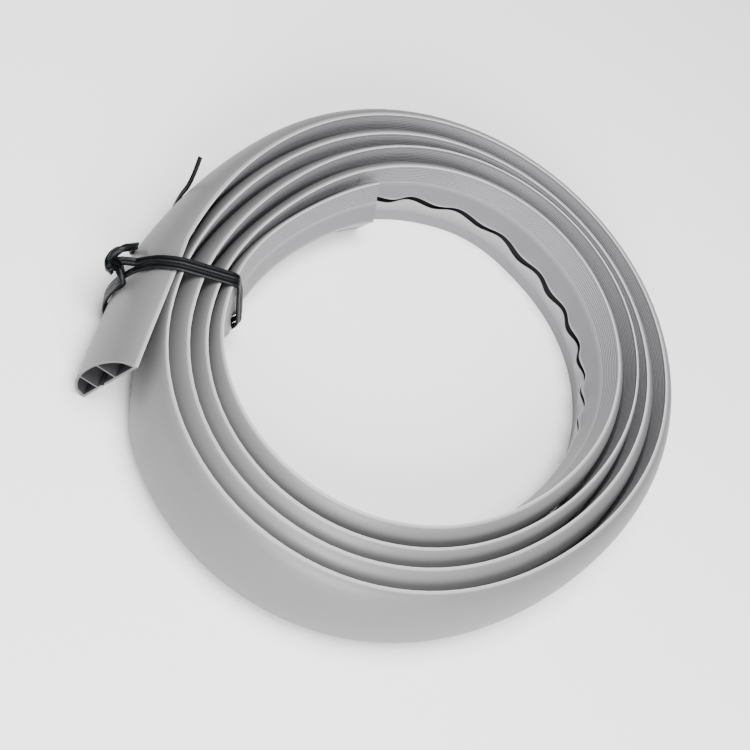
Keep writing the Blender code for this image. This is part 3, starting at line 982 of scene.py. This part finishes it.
@dataclass(frozen=True)
class TwistTie:
    """Plastic-coated wire tie: two wraps round the bundle, a twisted knot and a loose end.

    The loose end's route is a list of given places, each with its radius in millimetres, its coil
    angle in degrees and its height in millimetres.
    """

    plan: CoilPlan = CoilPlan()
    finish: CoatedTie = CoatedTie()
    width: float = 6.0 * MM
    thickness: float = 2.4 * MM
    edge_thickness: float = 1.3 * MM
    standoff: float = 1.9 * MM
    pitch: float = 6.1 * MM
    spacing: float = 1.2 * MM
    inner_reach: float = 4.6 * MM
    outer_reach: float = 10.8 * MM
    near_reach: float = 26.0 * MM
    between: int = 8
    half_round: int = 12
    slack: float = 0.8 * MM
    slack_turn: float = 34.0
    slack_slopes: Pair = (0.5, 0.9)
    slack_rises: Pair = (24.0 * MM, 42.0 * MM)
    slack_ends: Pair = (62.0 * MM, 79.0 * MM)
    knot_height: float = 57.0 * MM
    knot_standoff: float = 9.0 * MM
    knot_shift: float = -7.0 * MM
    knot_reach: float = 7.0 * MM
    knot_way: tuple[float, float, float] = (0.50, 0.70, -0.42)
    knot_length: float = 8.0 * MM
    knot_turns: float = 1.0
    knot_radius: float = 2.4 * MM
    knot_plump: float = 2.6
    knot_steps: int = 22
    knot_stub: float = 2.5 * MM
    wrap_plump: float = 0.9
    plump_reach: float = 19.0 * MM
    loose_route: tuple = (
        (241.5, 208.0, 54.0), (240.0, 207.0, 60.0), (234.7, 206.0, 63.5), (227.5, 204.4, 61.0),
        (224.5, 202.2, 52.0), (226.4, 200.4, 38.0), (223.6, 197.8, 22.0), (217.8, 194.0, 11.0),
        (213.8, 189.8, 8.0), (212.0, 186.2, 8.5), (214.0, 183.8, 14.0), (215.6, 182.7, 26.0),
        (215.6, 182.3, 38.0), (214.6, 181.9, 50.0), (216.4, 180.4, 60.0), (219.7, 178.7, 70.0))
    loose_out: float = 1.2 * MM
    loose_steps: int = 7
    loose_settles: float = 2.0
    loose_turns: Pair = (11.5, 15.0)
    loose_thins: Pair = (1.5, 5.0)
    loose_narrows: Pair = (5.0, 9.0)
    loose_less: float = 0.42
    sharp: float = 60.0

    def frame_axes(self) -> tuple[Vector, Vector, Vector, Vector]:
        """Gives the tie's plane.

        Returns:
            Its origin, and the ways outward, along the strip and up.
        """
        ray = self.plan.ray(TIE_ANGLE)
        radial = Vector((ray.x, ray.y, 0.0))
        along = Vector((-ray.y, ray.x, 0.0))
        return Vector((*self.plan.centre, 0.0)), radial, along, Vector((0.0, 0.0, 1.0))

    def bundle_hull(self, sections: list[list[list[Vector]]]) -> list[Vector]:
        """Gives the line of a band pulled tight round the turns, as (outward, up) pairs.

        Args:
            sections: loops of points of the strip.

        Returns:
            Corners in order, counter-clockwise.
        """
        origin, radial, along, _ = self.frame_axes()
        middle_turn = self.plan.radius(TIE_ANGLE + 540.0)
        around = []
        for here, there in zip(sections, sections[1:]):
            for one, two in zip(here[0], there[0]):
                first, second = one - origin, two - origin
                if first.dot(radial) < 0.0 or abs(first.dot(along)) > self.near_reach:
                    continue
                for j in range(self.between):
                    p = first.lerp(second, j / self.between)
                    reach = self.inner_reach if p.dot(radial) < middle_turn else self.outer_reach
                    if abs(p.dot(along)) < reach:
                        around.append((p.dot(radial), p.z))
        ring = []
        for x, z in convex_hull(around):
            for k in range(2 * self.half_round):
                turn = math.pi * k / self.half_round
                ring.append((x + self.standoff * math.cos(turn), z + self.standoff * math.sin(turn)))
        return [Vector(p) for p in convex_hull(ring)]

    def polar(self, radius: float, angle: float, height: float) -> Vector:
        """Gives a point from a radius and height in millimetres and a coil angle in degrees."""
        ray = self.plan.ray(angle) * radius * MM
        return Vector((ray.x + self.plan.centre[0], ray.y + self.plan.centre[1], height * MM))

    def wraps(self, hull: list[Vector]) -> tuple[list[TiePoint], Vector]:
        """Runs both wraps round the bundle.

        Args:
            hull: line round the bundle.

        Returns:
            Points of the tie, and the point of the hull beside the knot.
        """
        origin, radial, along, up = self.frame_axes()
        inner_x, outer_x = min(p.x for p in hull), max(p.x for p in hull)
        outside = [i for i, p in enumerate(hull) if p.x > 0.5 * (inner_x + outer_x)]
        start = min(outside, key=lambda i: abs(hull[i].y - self.knot_height))
        closed = even_loop(hull[start:] + hull[:start], self.spacing)
        size = len(closed)
        line = []
        for j in range(1, 2 * size):
            p = closed[j % size]
            from_knot = (p - closed[0]).length
            inner = 0.5 * size < j < 1.5 * size
            if not inner and from_knot < self.knot_reach:
                continue
            way = (closed[(j + 1) % size] - closed[(j - 1) % size]).normalized()
            # The tie springs a little clear of the inner side, and turns there as it bends over the top
            slack = smooth(-way.y, *self.slack_slopes) * smooth(p.y, *self.slack_rises)
            slack *= 1.0 - smooth(p.y, *self.slack_ends)
            shift = (j / size - 1.0) * self.pitch
            place = origin + radial * (p.x - self.slack * slack) + up * p.y + along * shift
            turn = math.radians(self.slack_turn) * slack
            face = (radial * way.y - up * way.x) * math.cos(turn) + along * math.sin(turn)
            near_knot = 0.0 if inner else 1.0 - smooth(from_knot, self.knot_reach, self.plump_reach)
            line.append(TiePoint(place, face, None, 1.0 + self.wrap_plump * near_knot))
        return line, closed[0]

    def strand(self, root: Vector, axis: Vector, phase: float) -> list[TiePoint]:
        """Runs one strand of the knot from the bundle to the knot's tip.

        Args:
            root: foot of the knot beside the bundle.
            axis: the way that the knot points.
            phase: where the strand starts round the axis, in radians.

        Returns:
            Points of the strand in order.
        """
        side = Vector((0.0, 0.0, 1.0)).cross(axis).normalized()
        top = axis.cross(side)
        points = []
        for j in range(self.knot_steps + 1):
            turn = phase + 2.0 * math.pi * self.knot_turns * j / self.knot_steps
            spoke = side * math.cos(turn) + top * math.sin(turn)
            place = root + axis * (self.knot_length * j / self.knot_steps) + spoke * self.knot_radius
            points.append(TiePoint(place, spoke, axis, self.knot_plump))
        return points

    def loose_end(self, strand: list[TiePoint], axis: Vector) -> list[TiePoint]:
        """Runs the loose end on from a strand of the knot, on a smooth curve through its route.

        Args:
            strand: strand that it goes on from.
            axis: the way that the knot points.

        Returns:
            Points of the loose end, from the knot to its tip.
        """
        _, radial, along, _ = self.frame_axes()
        route = [self.polar(*place) for place in self.loose_route]
        ends = [strand[-2].place, strand[-1].place + axis * self.loose_out] + route
        ends.append(2 * route[-1] - route[-2])
        points = []
        for k in range(1, len(ends) - 2):
            for j in range(self.loose_steps):
                t = j / self.loose_steps
                p, q, r, s = ends[k - 1:k + 3]
                place = q + 0.5 * t * (r - p + t * (2 * p - 5 * q + 4 * r - s + t * (3 * (q - r) + s - p)))
                done = k - 1 + t
                face = strand[-1].face.lerp(radial, min(1.0, done / self.loose_settles))
                face = face.lerp(along, 0.5 * smooth(done, *self.loose_turns))
                plump = 1.0 + (self.knot_plump - 1.0) * (1.0 - smooth(done, *self.loose_thins))
                share = 1.0 - self.loose_less * smooth(done, *self.loose_narrows)
                points.append(TiePoint(place, face.normalized(), None, plump, share))
        points.append(TiePoint(route[-1], (radial + along).normalized(), None, 1.0, 1.0 - self.loose_less))
        return points

    def line(self, sections: list[list[list[Vector]]]) -> list[TiePoint]:
        """Gives the tie's middle line from tip to tip.

        Args:
            sections: loops of points of the strip.

        Returns:
            Points of the tie in order.
        """
        origin, radial, along, up = self.frame_axes()
        wraps, beside = self.wraps(self.bundle_hull(sections))
        root = origin + radial * (beside.x + self.knot_standoff) + up * beside.y + along * self.knot_shift
        out, onward, rise = self.knot_way
        axis = (radial * out + along * onward + up * rise).normalized()
        first = self.strand(root, axis, 0.5 * math.pi)
        second = self.strand(root, axis, -0.5 * math.pi)
        loose = self.loose_end(first, axis)
        stub = TiePoint(second[-1].place + axis * self.knot_stub, second[-1].face, axis, self.knot_plump)
        points = loose[::-1] + first[::-1] + bridge(first[0], wraps[0])
        return points + wraps + bridge(wraps[-1], second[0]) + second + [stub]

    def profile(self) -> list[tuple[float, float, float]]:
        """Gives the tie's section: a ridge over each of its two wires, with a groove between them.

        Returns:
            Corners in order, each with its place across, its height and how rubbed it is.
        """
        half, thick, thin = 0.5 * self.width, 0.5 * self.thickness, 0.5 * self.edge_thickness
        upper = [(half, 0.0, 0.3), (0.95 * half, 0.9 * thin, 0.7), (0.74 * half, 0.92 * thick, 1.0),
                 (0.40 * half, 0.96 * thick, 0.6), (0.12 * half, 0.62 * thick, 0.0)]
        over = upper + [(-x, y, rub) for x, y, rub in reversed(upper)]
        return over + [(-x, -y, rub) for x, y, rub in over[1:-1]]

    def build(self, sections: list[list[list[Vector]]]) -> bpy.types.Object:
        """Sweeps the tie along its line and dresses it.

        Args:
            sections: loops of points of the strip.

        Returns:
            The finished piece.
        """
        line = self.line(sections)
        profile = self.profile()
        work = bmesh.new()
        edge = work.verts.layers.float.new("edge")
        rings = []
        for k, spot in enumerate(line):
            tangent = (line[min(k + 1, len(line) - 1)].place - line[max(k - 1, 0)].place).normalized()
            if spot.course is not None:
                tangent = spot.course if tangent.dot(spot.course) > 0.0 else -spot.course
            flat = (spot.face - tangent * spot.face.dot(tangent)).normalized()
            wide = tangent.cross(flat)
            ring = []
            for x, y, rub in profile:
                vert = work.verts.new(spot.place + wide * (x * spot.share) + flat * (y * spot.plump))
                vert[edge] = rub
                ring.append(vert)
            rings.append(ring)
        for one, two in zip(rings, rings[1:]):
            for j in range(len(one)):
                work.faces.new((one[j - 1], one[j], two[j], two[j - 1]))
        work.faces.new(rings[0])
        work.faces.new(rings[-1])
        mesh = finished_mesh("wire_tie", work, self.sharp, self.finish.material())
        return place_piece("wire_tie", mesh, "twist_tie")


def leaning_axes(lean: float) -> tuple[Vector, Vector]:
    """Gives the way down the strip and the way out of its base at a lean in radians."""
    return Vector((math.sin(lean), -math.cos(lean))), Vector((math.cos(lean), math.sin(lean)))


def bridge(start: TiePoint, end: TiePoint, count: int = 5) -> list[TiePoint]:
    """Gives points between two points of the tie, turning evenly from one to the other.

    Args:
        start: point before the first.
        end: point after the last.
        count: number of points.

    Returns:
        The points in order.
    """
    points = []
    for k in range(1, count + 1):
        t = k / (count + 1)
        plump = start.plump + (end.plump - start.plump) * t
        face = start.face.slerp(end.face, t, start.face)
        points.append(TiePoint(start.place.lerp(end.place, t), face, None, plump))
    return points


def chain(points: list[Pair]) -> list[Pair]:
    """Gives the chain of points that bends one way only, without its last point.

    Args:
        points: (x, y) pairs sorted along x, forwards or backwards.

    Returns:
        The lower chain, or the upper one where they run backwards.
    """
    kept = []
    for p in points:
        while len(kept) > 1 and ((kept[-1][0] - kept[-2][0]) * (p[1] - kept[-2][1])
                                 - (kept[-1][1] - kept[-2][1]) * (p[0] - kept[-2][0])) <= 0:
            kept.pop()
        kept.append(p)
    return kept[:-1]


def convex_hull(points: list[Pair], digits: int = 7) -> list[Pair]:
    """Gives the hull of (x, y) pairs.

    Args:
        points: pairs in any order.
        digits: decimals that are kept.

    Returns:
        Corners of the hull, counter-clockwise.
    """
    ordered = sorted(set((round(x, digits), round(y, digits)) for x, y in points))
    return chain(ordered) + chain(ordered[::-1])


def even_loop(loop: list[Vector], spacing: float, least: int = 8, passes: int = 9) -> list[Vector]:
    """Spaces points evenly along a closed line and eases its corners.

    Args:
        loop: corners in order.
        spacing: wanted distance between points.
        least: fewest points.
        passes: how many times each point moves towards its neighbours.

    Returns:
        Evenly spaced points.
    """
    spans = [(loop[(k + 1) % len(loop)] - loop[k]).length for k in range(len(loop))]
    count = max(least, round(sum(spans) / spacing))
    points = []
    k, done = 0, 0.0
    for i in range(count):
        want = sum(spans) * i / count
        while done + spans[k] < want:
            done += spans[k]
            k += 1
        points.append(loop[k].lerp(loop[(k + 1) % len(loop)], (want - done) / max(spans[k], TINY)))
    for _ in range(passes):
        nexts = points[1:] + points[:1]
        points = [0.25 * points[i - 1] + 0.5 * points[i] + 0.25 * nexts[i] for i in range(count)]
    return points


def finished_mesh(name: str, work: bmesh.types.BMesh, sharp: float,
                  material: bpy.types.Material) -> bpy.types.Mesh:
    """Turns worked faces into a smooth mesh with its material.

    Args:
        name: the mesh's name.
        work: its faces, which are used up.
        sharp: angle in degrees from which an edge stays sharp.
        material: its only material.

    Returns:
        The mesh.
    """
    bmesh.ops.recalc_face_normals(work, faces=work.faces)
    mesh = bpy.data.meshes.new(name)
    work.to_mesh(mesh)
    work.free()
    for polygon in mesh.polygons:
        polygon.use_smooth = True
    mesh.set_sharp_from_angle(angle=math.radians(sharp))
    mesh.materials.append(material)
    return mesh


def place_piece(name: str, mesh: bpy.types.Mesh, node: str) -> bpy.types.Object:
    """Puts a mesh into the scene as a piece that stands for a CAD node.

    Args:
        name: the piece's name.
        mesh: its mesh, in the row's frame.
        node: CAD node that it replaces.

    Returns:
        The piece.
    """
    piece = bpy.data.objects.new(name, mesh)
    bpy.context.scene.collection.objects.link(piece)
    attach(piece, "root")
    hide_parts(node)
    return piece


@dataclass(frozen=True)
class PhotoCamera:
    """The photograph's camera: a long lens, held askew, looking half down at the coil."""

    place: tuple[float, float, float] = (-0.27378, -0.82966, 1.04513)
    bearing: float = 18.1
    elevation: float = 50.0
    roll: float = 39.055
    lens: float = 84.0
    sensor: float = 36.0
    far: float = 20.0

    def build(self) -> bpy.types.Object:
        """Makes it the scene's camera.

        Returns:
            The camera.
        """
        data = bpy.data.cameras.new("photo_camera")
        data.lens = self.lens
        data.sensor_width = self.sensor
        data.clip_end = self.far
        camera = bpy.data.objects.new("photo_camera", data)
        bpy.context.scene.collection.objects.link(camera)
        turn = (Matrix.Rotation(math.radians(-self.bearing), 4, "Z")
                @ Matrix.Rotation(math.radians(90.0 - self.elevation), 4, "X")
                @ Matrix.Rotation(math.radians(self.roll), 4, "Z"))
        camera.matrix_world = Matrix.Translation(self.place) @ turn
        bpy.context.scene.camera = camera
        return camera


@dataclass(frozen=True)
class SoftBox:
    """One soft studio light: its size, power and colour, where it stands and where it looks."""

    name: str
    size: float
    power: float
    place: tuple[float, float, float]
    aim: tuple[float, float, float] = (0.0, 0.0, 0.03)
    tint_hex: str = "FFFFFF"

    def build(self) -> bpy.types.Object:
        """Puts the light into the scene.

        Returns:
            The light.
        """
        data = bpy.data.lights.new(self.name, "AREA")
        data.shape = "DISK"
        data.size = self.size
        data.energy = self.power
        data.color = linear(self.tint_hex)[:3]
        lamp = bpy.data.objects.new(self.name, data)
        lamp.location = self.place
        lamp.rotation_euler = (Vector(self.aim) - Vector(self.place)).to_track_quat("-Z", "Y").to_euler()
        bpy.context.scene.collection.objects.link(lamp)
        return lamp


@dataclass(frozen=True)
class Studio:
    """Pale floor, an even white surround and the soft lights."""

    floor_size: float = 14.0
    surround_hex: str = "FFFFFF"
    surround_power: float = 0.35
    board: PaintedBoard = PaintedBoard()
    lights: tuple[SoftBox, ...] = (
        SoftBox("key_box", 1.4, 105.0, (-0.1, -0.4, 2.1)),
        SoftBox("front_box", 1.2, 80.0, (0.35, -1.9, 1.2)),
    )

    def build(self) -> bpy.types.Object:
        """Builds the floor, the surround and the lights.

        Returns:
            The floor.
        """
        world = bpy.data.worlds.new("white_surround")
        bpy.context.scene.world = world
        world.use_nodes = True
        background = world.node_tree.nodes["Background"]
        background.inputs["Color"].default_value = linear(self.surround_hex)
        background.inputs["Strength"].default_value = self.surround_power
        for light in self.lights:
            light.build()
        work = bmesh.new()
        bmesh.ops.create_grid(work, x_segments=2, y_segments=2, size=0.5 * self.floor_size)
        mesh = bpy.data.meshes.new("studio_floor")
        work.to_mesh(mesh)
        work.free()
        mesh.materials.append(self.board.material())
        floor = bpy.data.objects.new("studio_floor", mesh)
        bpy.context.scene.collection.objects.link(floor)
        return floor


def write_sizes() -> None:
    """Brings the view layer up to date.
    """
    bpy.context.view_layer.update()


def main() -> None:
    """Builds the camera, the duct, the tie and the studio, and reports each piece."""
    logging.basicConfig(level=logging.INFO, format="%(name)s %(message)s")
    PhotoCamera().build()
    strip = DuctStrip()
    sections = strip.sections()
    LOG.info("%d sections of %d points", len(sections), sum(len(loop) for loop in sections[0]))
    for maker in (strip, TwistTie()):
        piece = maker.build(sections)
        LOG.info("%s: %d faces", piece.name, len(piece.data.polygons))
    floor = Studio().build()
    LOG.info("%s: %d faces", floor.name, len(floor.data.polygons))
    write_sizes()


if __name__ == "__main__":
    main()
